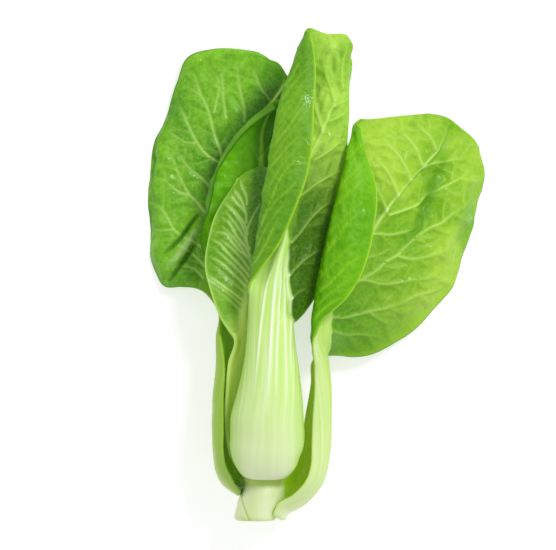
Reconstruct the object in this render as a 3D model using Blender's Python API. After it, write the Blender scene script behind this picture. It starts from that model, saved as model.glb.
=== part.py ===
"""Head of pak choi lying on its back with the leaf tips along +Y.

Five separate leaves stand on a short cut stem. Each leaf is one closed solid that runs from
the thick bowl shaped stalk into the thin blade. Points are millimetres: X to the right,
Y along the head, Z up from the surface. A stalk station is the point on the outer face,
the direction that face looks in degrees (0 is +X, 90 is up), the half width, the depth of
the bowl and the thickness. A blade row runs across the outer face from the left margin
over the midrib to the right margin.
"""
import bmesh
import bpy
import numpy as np

# Driving dimensions
MM = 0.001
STALK_EDGE = 1.4
BLADE_EDGE = 0.8
TIP_RIB = 1.0
STALK_WRAP = np.radians(80.0)
RIB_SHARPNESS = 14.0
RIB_OUTSIDE = 0.6
RIB_TAPER = 1.4
NECK_SHARE = 0.25
ROWS_BETWEEN = 2
COLUMNS_BETWEEN = 2
RIPPLE_HEIGHT = 0.4
RIPPLE_LENGTH = 24.0
RIPPLE_REACH = 3
END_SLOPE = 1.5
BUTT_CENTRE_Z = 24.0
BUTT_SIDES = 20

# Front leaf, outer face to the viewer, left half folded over the midrib
FRONT_STALK = (
    (-20.5, -83.5, 37.5, 90, 9.4, 1.8, 4),
    (-20.5, -81.5, 41.5, 90, 12.3, 4.5, 6),
    (-20.5, -78.5, 44.5, 90, 13.8, 8, 7),
    (-20.5, -73.5, 47, 90, 14.9, 10.8, 7.5),
    (-20, -67, 48, 90, 15.2, 12.3, 8),
    (-20, -58.5, 48.5, 90, 14.9, 12.5, 7.5),
    (-19, -49, 48, 90, 13.5, 12, 7),
    (-18.5, -38.5, 47, 90, 11.7, 10.5, 6.5),
    (-18.5, -28, 46, 90, 10.2, 9, 6),
    (-18.5, -17.5, 45, 90, 9.4, 7.5, 5.5),
)
FRONT_BLADE = (
    ((-27.5, -9.5, 41), (-26.5, -9.5, 42), (-24.5, -9, 43), (-22, -9, 44),
     (-18, -9, 44.5), (-13.5, -11.5, 41.5), (-10.5, -15.5, 36), (-8, -19, 31.5)),
    ((-27, -4.5, 44), (-26.5, -4, 43), (-25, -3, 42.5), (-22, -2.5, 43),
     (-17, -2.5, 44), (-11.5, -5.5, 40.5), (-7.5, -11, 35), (-4, -15, 30)),
    ((-23.5, 1, 47), (-25.5, 2, 44.5), (-25.5, 4, 42), (-22, 5, 42),
     (-16, 4, 43.5), (-9.5, 0, 39), (-5, -6, 33.5), (-1, -10, 28.5)),
    ((-17, 9.5, 47.5), (-22, 10, 46.5), (-24, 13.5, 42.5), (-20.5, 14, 41),
     (-13, 15, 42.5), (-5.5, 11.5, 38), (0, 5.5, 32.5), (3.5, 1, 28)),
    ((-8, 28.5, 48), (-15, 28.5, 48), (-21.5, 31, 42.5), (-17, 31.5, 39.5),
     (-9.5, 30.5, 41), (-1, 28, 38), (5, 23, 32.5), (8.5, 18, 28)),
    ((-3.5, 41.5, 47), (-12, 42.5, 47), (-19, 46, 42.5), (-14.5, 46.5, 39),
     (-5, 44.5, 39.5), (2.5, 42.5, 37.5), (7.5, 38.5, 32.5), (11, 33, 28.5)),
    ((-1.5, 57.5, 45), (-9, 57.5, 46), (-16.5, 61, 41.5), (-11, 61, 38),
     (1, 55.5, 38.5), (6, 55.5, 37), (10, 52.5, 33), (13, 48.5, 29.5)),
    ((-1, 69.5, 43), (-7, 69.5, 44), (-14, 72.5, 40), (-8, 72, 36.5),
     (6, 67.5, 37.5), (9, 66, 36.5), (11, 64, 34.5), (13, 61.5, 32)),
    ((-0.5, 81, 40.5), (-5, 81.5, 41.5), (-10, 84, 38), (-4.5, 83, 35),
     (10.5, 76, 36), (12.5, 74.5, 35), (13.5, 72.5, 33.5), (13.5, 70, 31.5)),
    ((-1, 91.5, 38), (-4, 92.5, 38.5), (-6.5, 93.5, 36), (-0.5, 92, 34),
     (12, 85, 35), (13.5, 83, 34.5), (14, 80.5, 32.5), (14, 77, 30.5)),
    ((-2.5, 98, 36.5), (-3.5, 99, 36), (-3, 100, 35), (4, 98.5, 33.5),
     (13, 97.5, 34), (15, 94.5, 33.5), (15, 89.5, 32), (14.5, 84, 30.5)),
)

# Right leaf, outer face to the viewer, left half folded over the midrib
RIGHT_STALK = (
    (-12.5, -100.5, 23, 0, 9.5, 5.5, 3),
    (-11.5, -98.5, 23, -2, 10, 6.3, 4),
    (-8, -96.5, 22.5, -8, 10.8, 7.5, 4.8),
    (-4, -93.5, 22, -14, 11.5, 9, 5.4),
    (-0.5, -89.5, 21.5, -18, 12.2, 10, 6),
    (2.5, -85, 21, -18, 12.6, 10.5, 6.2),
    (4.5, -79, 20.5, -16, 12.8, 10.3, 6.5),
    (6, -70, 20, -10, 13, 9.8, 6.8),
    (6.5, -57.5, 20, -6, 12.5, 8.8, 6.5),
    (6.5, -45.5, 21, -3, 11, 7.4, 6),
    (5.5, -36, 22.5, 0, 9.5, 6, 5.2),
)
RIGHT_BLADE = (
    ((-0.5, -27, 36), (0, -25.5, 34.5), (0.5, -25, 33), (2, -24.5, 31.5),
     (4, -24, 29), (5.5, -27, 25), (6, -30.5, 19.5), (6.5, -33.5, 14)),
    ((2.5, -18.5, 39), (-0.5, -18.5, 38), (-0.5, -17.5, 35.5), (1.5, -16, 32.5),
     (5, -14, 30), (9, -19.5, 25), (13, -27.5, 18), (15, -34, 11.5)),
    ((9.5, -12, 40.5), (4.5, -11.5, 41), (0.5, -9.5, 37.5), (3.5, -7, 33),
     (9.5, -3.5, 30.5), (16.5, -11, 25.5), (23, -22, 18), (27, -31.5, 9.5)),
    ((17.5, -1.5, 40.5), (10, -0.5, 42.5), (3, 5.5, 38.5), (7, 7, 33.5),
     (15.5, 8, 30.5), (24, -0.5, 24), (33.5, -13, 18.5), (38.5, -24.5, 6.5)),
    ((22, 13, 39.5), (14.5, 15, 42.5), (6.5, 23, 38.5), (11, 23.5, 33.5),
     (22.5, 18, 29.5), (31.5, 10.5, 22.5), (41.5, -2.5, 18.5), (48.5, -15.5, 3.5)),
    ((24.5, 28.5, 37), (18, 30.5, 40.5), (10.5, 38.5, 37), (15, 38.5, 32),
     (30, 28, 27.5), (39, 21.5, 20), (48.5, 9.5, 17.5), (57, -4.5, 1.5)),
    ((22.5, 42.5, 34), (19, 44.5, 37), (13.5, 51, 34.5), (19, 50.5, 29.5),
     (38, 37.5, 24), (46, 32.5, 17), (55, 22.5, 16), (63, 12.5, 0)),
    ((19.5, 51, 32.5), (18, 53.5, 35), (15, 56.5, 32), (22.5, 57, 26),
     (45.5, 46, 19.5), (52.5, 42, 13.5), (60.5, 33.5, 13.5), (67.5, 28, 0)),
    ((18.5, 55.5, 33), (17, 57.5, 33.5), (16, 60, 30), (25.5, 61, 23),
     (51.5, 53, 15.5), (57.5, 49.5, 11), (64, 44.5, 10.5), (70, 43, 2.5)),
    ((18.5, 59, 32.5), (17.5, 60, 32), (18, 62, 28.5), (31, 65, 20),
     (56, 64.5, 12.5), (61, 60.5, 9.5), (65, 57.5, 8), (68, 53, 6)),
)

# Left leaf, inner face to the viewer, blade on the surface
LEFT_STALK = (
    (-32, -90.5, 22, 190, 7, 3, 3.2),
    (-35, -88.5, 22, 192, 9, 5.2, 4.2),
    (-38, -86, 21.5, 194, 10.5, 7.2, 4.6),
    (-40.5, -81, 21, 195, 11.5, 7, 4.8),
    (-41.5, -73.5, 20.5, 196, 12.5, 6.7, 4.8),
    (-42, -64.5, 20, 196, 12.5, 7.2, 4.6),
    (-42, -51.5, 19.5, 195, 11.5, 6.5, 4.6),
    (-40.5, -38.5, 18.5, 200, 9.8, 6, 4.5),
    (-39.5, -26, 16.5, 212, 8, 4.5, 4.2),
)
LEFT_BLADE = (
    ((-40.5, -15, 19), (-40, -15.5, 16.5), (-39, -16, 14.5),
     (-37.5, -15.5, 13), (-35, -15.5, 11.5), (-33, -16, 11)),
    ((-47, -6.5, 13), (-44, -7, 13), (-42, -7, 12), (-39.5, -6, 11), (-35, -6.5, 8.5), (-30, -7.5, 8)),
    ((-55.5, -5, 8), (-51, -2.5, 9.5), (-46, -0.5, 9.5), (-42.5, 2, 8.5), (-36, 1, 6), (-27, -1, 5.5)),
    ((-63, -4.5, 4), (-58, 1, 8), (-51.5, 5.5, 6.5), (-42.5, 9.5, 7), (-33.5, 9.5, 5.5), (-23, 8, 6)),
    ((-67, 3.5, 1), (-62, 11, 6.5), (-54, 15.5, 4), (-43, 19.5, 6), (-32.5, 19, 5.5), (-21, 17.5, 7)),
    ((-68.5, 18.5, -0.5), (-64, 24, 4.5), (-55, 27, 3.5),
     (-41.5, 29.5, 5.5), (-31, 28.5, 5.5), (-19, 27, 7.5)),
    ((-69, 35.5, -0.5), (-64, 39.5, 3.5), (-54, 40.5, 4),
     (-38.5, 40.5, 5.5), (-28.5, 39, 6), (-17, 36, 8)),
    ((-67, 53.5, 0.5), (-62, 56, 3.5), (-51.5, 54.5, 4.5),
     (-34, 50, 6), (-25, 47.5, 6.5), (-15, 44.5, 8.5)),
    ((-62.5, 64.5, 1.5), (-57, 67.5, 4), (-46, 65, 5),
     (-29, 57.5, 6), (-21.5, 54.5, 7), (-12.5, 52, 8.5)),
    ((-57.5, 79.5, 3), (-52.5, 80, 5), (-41.5, 74.5, 5.5),
     (-24.5, 64, 6.5), (-17.5, 61.5, 7.5), (-11, 59, 8.5)),
    ((-53, 90.5, 5), (-48, 88.5, 6), (-36, 80.5, 6), (-20, 69, 7), (-15, 66.5, 8), (-10, 64.5, 8.5)),
    ((-42.5, 93.5, 5.5), (-39, 91.5, 6.5), (-29, 84.5, 7),
     (-16.5, 73.5, 7.5), (-12.5, 71.5, 8), (-9, 70, 8.5)),
    ((-29.5, 93.5, 6.5), (-26, 92, 7), (-20.5, 87.5, 7.5),
     (-13.5, 78.5, 8), (-11, 76.5, 8), (-9, 75, 8.5)),
    ((-23.5, 92, 7), (-19.5, 90, 7.5), (-16, 88, 7.5),
     (-12.5, 84, 8), (-11, 82, 8.5), (-10, 79.5, 8.5)),
)

# Back leaf, stalk on the surface, upper left margin turned over
BACK_STALK = (
    (-22, -85.5, 12.5, -90, 7.5, 3.5, 4),
    (-22, -83.5, 7, -90, 8.5, 4, 5),
    (-22, -78.5, 2, -90, 9.5, 5, 5.5),
    (-21, -72, 0, -90, 10, 5, 6),
    (-20.5, -62.5, -0.5, -90, 10, 5, 6),
    (-20, -51, 0, -90, 9.5, 4.5, 5.5),
    (-20, -37.5, 1.5, -90, 9, 4, 5),
    (-20, -25, 3.5, -90, 8.5, 3.5, 4.5),
)
BACK_BLADE = (
    ((-29, -12.5, 9), (-27, -13, 7.5), (-24, -13.5, 6),
     (-20, -13.5, 6), (-15.5, -13.5, 7), (-11.5, -13, 8.5)),
    ((-34.5, -5.5, 12), (-32, -4, 11), (-27, -2.5, 9.5), (-21, -1, 8), (-14.5, -2.5, 9), (-8, -5, 10)),
    ((-42, 2, 14), (-38.5, 4.5, 13.5), (-31, 8.5, 12),
     (-22, 11, 10.5), (-13.5, 8.5, 10.5), (-5.5, 3.5, 11)),
    ((-47.5, 12.5, 15), (-43, 16, 14.5), (-34, 20.5, 13.5),
     (-22.5, 24, 12.5), (-13, 21, 12), (-3.5, 15.5, 12)),
    ((-44, 28.5, 19), (-45.5, 29.5, 17), (-34.5, 34, 14.5),
     (-23, 37.5, 13.5), (-13, 34.5, 13.5), (-3, 28.5, 13)),
    ((-40.5, 42, 20), (-41.5, 43, 18), (-33, 46.5, 15),
     (-22.5, 49.5, 14.5), (-13.5, 46.5, 14), (-4.5, 41.5, 13.5)),
    ((-34.5, 53, 21.5), (-36.5, 53.5, 19), (-31, 58, 16.5),
     (-22, 60, 15), (-14, 58, 14.5), (-6.5, 54.5, 14)),
    ((-26.5, 61, 22), (-28.5, 63, 20), (-24.5, 65.5, 17),
     (-19.5, 66.5, 16), (-14, 65.5, 15), (-8.5, 62.5, 14.5)),
    ((-16.5, 68.5, 22), (-18.5, 71.5, 19.5), (-15.5, 73, 17),
     (-13, 73, 16), (-11, 71.5, 15.5), (-9, 69.5, 15)),
)

# Small inner leaf behind the front stalk
INNER_STALK = (
    (-27.5, -81.5, 26, 236, 5, 2, 3),
    (-29, -78.5, 24.5, 236, 6, 3, 3.6),
    (-31.5, -74.5, 23.5, 236, 6.5, 3.6, 4),
    (-33.5, -67, 22.5, 236, 7, 4, 4.2),
    (-34, -57.5, 22.5, 236, 7, 4, 4.2),
    (-33.5, -47, 23, 236, 6.7, 3.5, 4),
    (-32, -36, 24.5, 241, 6.2, 3, 3.6),
    (-29.5, -26.5, 25.5, 248, 5.8, 2.4, 3.3),
)
INNER_BLADE = (
    ((-35.5, -23.5, 30), (-34, -23.5, 28.5), (-30.5, -20, 27), (-27, -19, 27.5), (-24, -17.5, 28.5)),
    ((-41, -13.5, 30.5), (-36, -12.5, 28), (-28.5, -10, 27.5), (-24.5, -8.5, 28.5), (-20.5, -7, 30)),
    ((-44, -4, 29), (-38, -1.5, 27.5), (-27.5, 1, 28), (-22.5, 2, 29.5), (-17.5, 3.5, 31)),
    ((-45.5, 5.5, 27.5), (-38.5, 8.5, 27), (-27, 12.5, 28), (-21.5, 13, 30), (-16, 14.5, 31.5)),
    ((-44.5, 13, 27), (-37.5, 17.5, 26.5), (-27, 22, 27.5), (-21, 23, 29.5), (-15.5, 23.5, 31)),
    ((-41.5, 24, 27), (-35.5, 27.5, 26.5), (-27, 30.5, 27), (-21.5, 31.5, 28.5), (-17, 32.5, 30)),
    ((-37, 32, 26.5), (-32.5, 35, 26), (-26.5, 37.5, 26.5), (-22, 38, 27.5), (-18, 38.5, 28.5)),
    ((-32, 39, 26), (-29, 42, 26), (-25, 43.5, 26), (-22, 44.5, 27), (-19.5, 43.5, 27.5)),
)

# Stem base: Y, centre X, half width, half height
BUTT_RINGS = (
    (-100.5, -24.9, 7.9, 9.2),
    (-99.6, -24.9, 8.6, 9.9),
    (-96.5, -24.0, 8.9, 10.3),
    (-92.0, -22.5, 9.4, 10.4),
    (-88.0, -21.4, 8.8, 10.2),
    (-85.4, -21.2, 8.4, 9.5),
    (-83.1, -21.2, 9.1, 8.8),
    (-82.5, -21.0, 5.4, 6.0),
    (-80.0, -20.5, 2.4, 3.0),
)

# Colour of each piece, then roughness
MATERIALS = {
    "butt": ((0.72, 0.80, 0.50), 0.45),
    "leaf_front": ((0.30, 0.52, 0.12), 0.42),
    "leaf_right": ((0.28, 0.50, 0.10), 0.42),
    "leaf_left": ((0.12, 0.36, 0.05), 0.42),
    "leaf_back": ((0.14, 0.38, 0.06), 0.42),
    "leaf_inner": ((0.26, 0.50, 0.12), 0.42),
}


def clear_scene():
    for item in list(bpy.data.objects):
        bpy.data.objects.remove(item, do_unlink=True)


def unit(vectors):
    return vectors / np.maximum(np.linalg.norm(vectors, axis=-1, keepdims=True), 1e-9)


def spline(points, between):
    """Smooth curve through points along the first axis, with even samples between them."""
    gaps = np.maximum(np.linalg.norm(np.diff(points, axis=0), axis=-1, keepdims=True), 1e-6)
    slopes = np.diff(points, axis=0) / gaps
    inner = (slopes[:-1] * gaps[1:] + slopes[1:] * gaps[:-1]) / (gaps[:-1] + gaps[1:])
    first = END_SLOPE * slopes[:1] - (END_SLOPE - 1) * inner[:1]
    last = END_SLOPE * slopes[-1:] - (END_SLOPE - 1) * inner[-1:]
    tangents = np.concatenate([first, inner, last])
    samples = []
    for step in range(between):
        t = step / between
        rise = t * t * (3 - 2 * t)
        leave = t * (1 - t) ** 2
        arrive = t * t * (t - 1)
        piece = points[:-1] * (1 - rise) + points[1:] * rise
        samples.append(piece + gaps * (leave * tangents[:-1] + arrive * tangents[1:]))
    curve = np.stack(samples, axis=1).reshape((-1,) + points.shape[1:])
    return np.concatenate([curve, points[-1:]])


def ramp(values, between):
    """Straight steps between values, at the same samples as spline."""
    values = np.asarray(values, float)
    places = np.linspace(0, len(values) - 1, (len(values) - 1) * between + 1)
    return np.interp(places, np.arange(len(values)), values)


def stalk_rows(stations, across, facing):
    """Rows of points over the outer face of a bowl shaped stalk."""
    table = np.asarray(stations, float)
    spots = table[:, :3]
    growth = unit(np.gradient(spots, axis=0))
    right = unit(np.cross(growth, (0.0, 0.0, 1.0)))
    upward = np.cross(right, growth)
    angle = np.radians(table[:, 3:4])
    outward = np.cos(angle) * right + np.sin(angle) * upward
    sideways = facing * (np.cos(angle) * upward - np.sin(angle) * right)
    reach = np.sin(across * STALK_WRAP) / np.sin(STALK_WRAP)
    drop = (1 - np.cos(across * STALK_WRAP)) / (1 - np.cos(STALK_WRAP))
    rows = spots[:, None] + sideways[:, None] * (table[:, 4:5] * reach)[..., None]
    return rows - outward[:, None] * (table[:, 5:6] * drop)[..., None]


def leaf_faces(stalk, blade, midrib, facing):
    """Outer and inner face of a leaf as grids of points, in millimetres."""
    blade = np.asarray(blade, float)
    columns = blade.shape[1]
    left = np.linspace(1, 0, midrib + 1)
    right = np.linspace(0, -1, columns - midrib)[1:]
    across = np.concatenate([left, right])
    rows = np.concatenate([stalk_rows(stalk, across, facing), blade])
    grid = spline(rows, ROWS_BETWEEN)
    grid = spline(grid.swapaxes(0, 1), COLUMNS_BETWEEN).swapaxes(0, 1)
    across = ramp(across, COLUMNS_BETWEEN)[None, :]

    blade_share = np.linspace(0, 1, len(blade) + 1)[1:]
    stalk_thick = np.array([station[6] for station in stalk])
    blade_thick = TIP_RIB + (stalk_thick[-1] - TIP_RIB) * (1 - blade_share) ** RIB_TAPER
    thick = ramp(np.concatenate([stalk_thick, blade_thick]), ROWS_BETWEEN)[:, None]
    blade_part = ramp(np.concatenate([np.zeros(len(stalk)), blade_share]), ROWS_BETWEEN)[:, None]
    settled = np.clip(blade_part / NECK_SHARE, 0, 1)
    edge = STALK_EDGE + (BLADE_EDGE - STALK_EDGE) * settled
    sharpness = 1 + (RIB_SHARPNESS - 1) * settled
    rib = np.maximum(thick - edge, 0) * (1 - across ** 2) ** sharpness
    outside = RIB_OUTSIDE * settled * rib

    along = np.gradient(grid, axis=0)
    over = np.gradient(grid, axis=1)
    inward = facing * unit(np.cross(along, over))
    length = np.cumsum(np.linalg.norm(along, axis=-1), axis=0)
    waves = np.sin(length * 2 * np.pi / RIPPLE_LENGTH)
    ripple = RIPPLE_HEIGHT * settled * np.abs(across) ** RIPPLE_REACH * waves
    grid = grid + inward * ripple[..., None]
    outer = grid - inward * outside[..., None]
    inner = grid + inward * (edge + rib - outside)[..., None]
    lift = np.maximum(-np.minimum(outer[..., 2], inner[..., 2]), 0)
    outer[..., 2] += lift
    inner[..., 2] += lift
    return outer, inner


def add_material(name):
    colour, roughness = MATERIALS[name]
    material = bpy.data.materials.new(name)
    material.use_nodes = True
    shader = material.node_tree.nodes["Principled BSDF"]
    shader.inputs["Base Color"].default_value = (*colour, 1.0)
    shader.inputs["Roughness"].default_value = roughness
    shader.inputs["Metallic"].default_value = 0.0
    return material


def add_object(name, points, faces):
    mesh = bpy.data.meshes.new(name)
    mesh.from_pydata([tuple(point) for point in points], [], faces)
    body = bmesh.new()
    body.from_mesh(mesh)
    bmesh.ops.recalc_face_normals(body, faces=body.faces)
    for face in body.faces:
        face.smooth = True
    body.to_mesh(mesh)
    body.free()
    mesh.materials.append(add_material(name))
    piece = bpy.data.objects.new(name, mesh)
    bpy.context.scene.collection.objects.link(piece)
    return piece


def add_leaf(name, stalk, blade, midrib, facing):
    """Closed shell between the two faces, split into triangles alike on both."""
    outer, inner = leaf_faces(stalk, blade, midrib, facing)
    rows, columns = outer.shape[:2]
    count = rows * columns
    faces = []
    for row in range(rows - 1):
        for column in range(columns - 1):
            near = row * columns + column
            far = near + columns
            for a, b, c in ((near, far, far + 1), (near, far + 1, near + 1)):
                faces.append((a, b, c))
                faces.append((a + count, c + count, b + count))
    rim = [column for column in range(columns)]
    rim += [row * columns + columns - 1 for row in range(1, rows)]
    rim += [(rows - 1) * columns + column for column in range(columns - 2, -1, -1)]
    rim += [row * columns for row in range(rows - 2, 0, -1)]
    for a, b in zip(rim, rim[1:] + rim[:1]):
        faces.append((a, b, b + count))
        faces.append((a, b + count, a + count))
    points = np.concatenate([outer.reshape(-1, 3), inner.reshape(-1, 3)]) * MM
    return add_object(name, points, faces)


def add_butt():
    """Short cut stem: rings along Y closed by a flat cut at the low end."""
    turn = np.linspace(0, 2 * np.pi, BUTT_SIDES, endpoint=False)
    points = []
    for y, centre_x, half_width, half_height in BUTT_RINGS:
        for angle in turn:
            x = centre_x + half_width * np.cos(angle)
            z = BUTT_CENTRE_Z + half_height * np.sin(angle)
            points.append((x, y, z))
    first = len(points)
    points.append((BUTT_RINGS[0][1], BUTT_RINGS[0][0], BUTT_CENTRE_Z))
    points.append((BUTT_RINGS[-1][1], BUTT_RINGS[-1][0], BUTT_CENTRE_Z))
    faces = []
    for ring in range(len(BUTT_RINGS) - 1):
        for side in range(BUTT_SIDES):
            a = ring * BUTT_SIDES + side
            b = ring * BUTT_SIDES + (side + 1) % BUTT_SIDES
            faces.append((a, b, b + BUTT_SIDES))
            faces.append((a, b + BUTT_SIDES, a + BUTT_SIDES))
    top = (len(BUTT_RINGS) - 1) * BUTT_SIDES
    for side in range(BUTT_SIDES):
        following = (side + 1) % BUTT_SIDES
        faces.append((first, following, side))
        faces.append((first + 1, top + side, top + following))
    return add_object("butt", np.array(points) * MM, faces)


clear_scene()
add_butt()
add_leaf("leaf_front", FRONT_STALK, FRONT_BLADE, midrib=4, facing=1)
add_leaf("leaf_right", RIGHT_STALK, RIGHT_BLADE, midrib=4, facing=1)
add_leaf("leaf_left", LEFT_STALK, LEFT_BLADE, midrib=3, facing=-1)
add_leaf("leaf_back", BACK_STALK, BACK_BLADE, midrib=3, facing=-1)
add_leaf("leaf_inner", INNER_STALK, INNER_BLADE, midrib=2, facing=-1)
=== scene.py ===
"""Head of pak choi lying on its back on a plain pale floor, seen from above.

Points are millimetres: X to the right, Y along the head, Z up from the floor. Each leaf is
drawn again over the same stations and rows as its solid, sampled finely, with its rib,
veins, folds and waved margin as real relief, and replaces that solid.
"""

import bpy
import numpy as np
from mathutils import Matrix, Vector, kdtree, noise


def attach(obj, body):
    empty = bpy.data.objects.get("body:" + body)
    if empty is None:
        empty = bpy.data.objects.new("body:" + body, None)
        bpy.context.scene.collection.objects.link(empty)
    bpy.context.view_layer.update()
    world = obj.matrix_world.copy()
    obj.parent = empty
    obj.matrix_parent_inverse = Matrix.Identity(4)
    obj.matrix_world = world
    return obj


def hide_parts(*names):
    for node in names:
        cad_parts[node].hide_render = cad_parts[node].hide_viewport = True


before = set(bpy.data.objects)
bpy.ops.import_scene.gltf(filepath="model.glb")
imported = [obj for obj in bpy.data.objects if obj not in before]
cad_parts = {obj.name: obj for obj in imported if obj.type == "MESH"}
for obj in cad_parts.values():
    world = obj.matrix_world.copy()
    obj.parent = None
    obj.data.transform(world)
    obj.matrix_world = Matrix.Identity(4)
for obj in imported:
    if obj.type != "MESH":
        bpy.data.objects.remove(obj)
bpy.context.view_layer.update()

LEAVES = ("leaf_front", "leaf_right", "leaf_left", "leaf_back", "leaf_inner")


def per_leaf(*values):
    """Values in the order of LEAVES."""
    return dict(zip(LEAVES, values))


MM = 0.001
# Thickness of the edge of a stalk and of a blade, and of the rib at a leaf's tip
STALK_EDGE = 1.4
BLADE_EDGE = 0.5
TIP_RIB = 0.9
# Power by which the rib thins along the blade, and share of its relief on the outer face
RIB_TAPER = 1.4
RIB_OUTSIDE = 0.6
# Half the angle that the outer face of a stalk turns through
STALK_WRAP = np.radians(80.0)
# Share of the blade by which its form has taken over from the stalk's
SETTLED = 0.25
# Waves of the margin
RIPPLE_HEIGHT = 0.4
RIPPLE_LENGTH = 24.0
# Swellings of the blade and ruffles of its margin: height, size and seed of each noise
SWELLS = ((0.45, 14.0, 3.1), (0.2, 4.5, 7.7))
RUFFLE = (0.25, 4.0, 11.3)
# Distances over which relief changes: ruffles and swellings from the margin, quilting from a vein
RUFFLE_REACH = 2.0
SWELL_REACH = 6.0
QUILT_REACH = 2.0
# Widths of the thin line of painted highlight and painted shade along the margin, and of the paler strip
# along it
HEM_WIDTH = 0.6
MARGIN_WIDTH = 1.2
# Bulge of the rim as a share of its thickness, and least height of the rim above the floor
RIM_BULGE = 0.3
RIM_FLOOR = 0.02
# Relief of the veins on each face, and share of their strength on the other face
VEIN_RELIEF = {"outer": 0.54, "inner": 0.27}
VEIN_BEHIND = 0.6
# Spread and strength of a vein for its width, and distance kept where no vein is near
VEIN_SPREAD = 0.60
VEIN_STRENGTH = 0.72
NO_VEIN = 12.0
# Veins that start by this control row rise out of the stalk
STALK_VEIN_ROW = 5
# A line laid on a leaf: distance between its samples, leaf samples each one is set between, distance
# that counts as touching, and samples averaged to smooth it
LINE_SAMPLE = 0.3
LINE_NEIGHBOURS = 4
NEAR_LIMIT = 0.05
LINE_SMOOTHING = 13
# Leaves whose side veins branch again, and the twigs' angle in degrees, length, gap in steps and strength
TWIGGED = LEAVES[:4]
TWIG_ANGLE = (42, 62)
TWIG_LENGTH = (5.5, 9.0)
TWIG_STEP = 1.0
TWIG_GAP = (3, 6)
TWIG_STRENGTH = 0.4
# Distance between samples of a leaf, and narrowest spread of a vein that they can show
STALK_SAMPLE = 1.0
BLADE_SAMPLE = per_leaf(0.48, 0.58, 0.49, 0.5, 0.34)
THINNEST = per_leaf(0.5, 0.64, 0.52, 0.5, 0.44)
# Power by which the rib narrows along the blade, and its half width at the tip
RIB_NARROWING = per_leaf(4.2, 3.8, 3.4, 3.0, 4.0)
TIP_WIDTH = per_leaf(0.65, 0.48, 0.7, 0.6, 0.45)
# Shares of the blade over which the rib fades out and turns from the stalk colour to the vein colour
RIB_END = per_leaf((0.70, 0.80), (0.88, 1.0), (0.90, 1.0), (0.80, 1.0), (0.15, 0.45))
THINNING = per_leaf((0.35, 0.75), (0.35, 0.75), (0.2, 0.5), (0.2, 0.5), (0.1, 0.3))
# Pale part of the outer face near the neck: control row, then its first and last column
PALE_LIMITS = {
    "leaf_front": ((9, -1.0, 8.0), (9.6, -1.0, 7.3), (10, -1.0, 6.4), (10.5, 0.2, 5.8), (11, 0.8, 5.35),
                   (12, 1.9, 4.75), (13, 2.4, 4.2), (13.4, 2.6, 3.9), (14, 2.8, 3.7)),
    "leaf_right": ((10, -1.0, 8.0), (10.6, -1.0, 7.2), (11, -1.0, 6.0), (11.25, 0.0, 4.85),
                   (11.5, 0.6, 4.45), (12, 1.2, 4.2), (13, 2.8, 4.1)),
}
PALE_BLUR = 0.1
# Stem base: sampling, height of its axis, and the seams' angles at the cut and turns for each millimetre
BUTT_SAMPLE = 0.45
BUTT_SIDES = 144
BUTT_CENTRE_Z = 24.0
SEAM_ANGLES = np.radians((29.0, 105.0, 215.0, 290.0))
SEAM_TURNS = np.radians((-3.3, 5.0, 1.0, -1.0))
SEAM_WIDTH = 0.6
SEAM_DEPTH = 0.5
# Y where the stem creases below the stalks and at its rim, and strength of the second crease
TOP_CREASE = (-87.0, -85.4)
RIM_CREASE = (-99.9, -100.4)
RIM_CREASE_STRENGTH = 0.6
# Cut face: size of each ring as a share of its rim, depth of its hollow, height and pace of its ripples
CUT_RINGS = np.linspace(0.97, 0.06, 26)
CUT_HOLLOW = 0.35
CUT_RIPPLE = 0.10
CUT_RIPPLE_PACE = 34
# Scales of the noises in the materials: patches, mottling, grain, cells, spots and the stem's fibres
PATCHES = 30.0
MOTTLING = 190.0
GRAIN = 520.0
CELLS = 420.0
SPOTS = 90.0
FIBRES = 900.0
# Stalk streaks are long and narrow: scale across the leaf and along it
STREAK_ACROSS = 480.0
STREAK_ALONG = 14.0
BUMP_DEPTH = 0.0005

# A row of a stalk is X, Y, Z, the angle it faces, half width, depth and thickness, and a row of a blade
# is X, Y, Z of its points from one margin to the other

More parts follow.
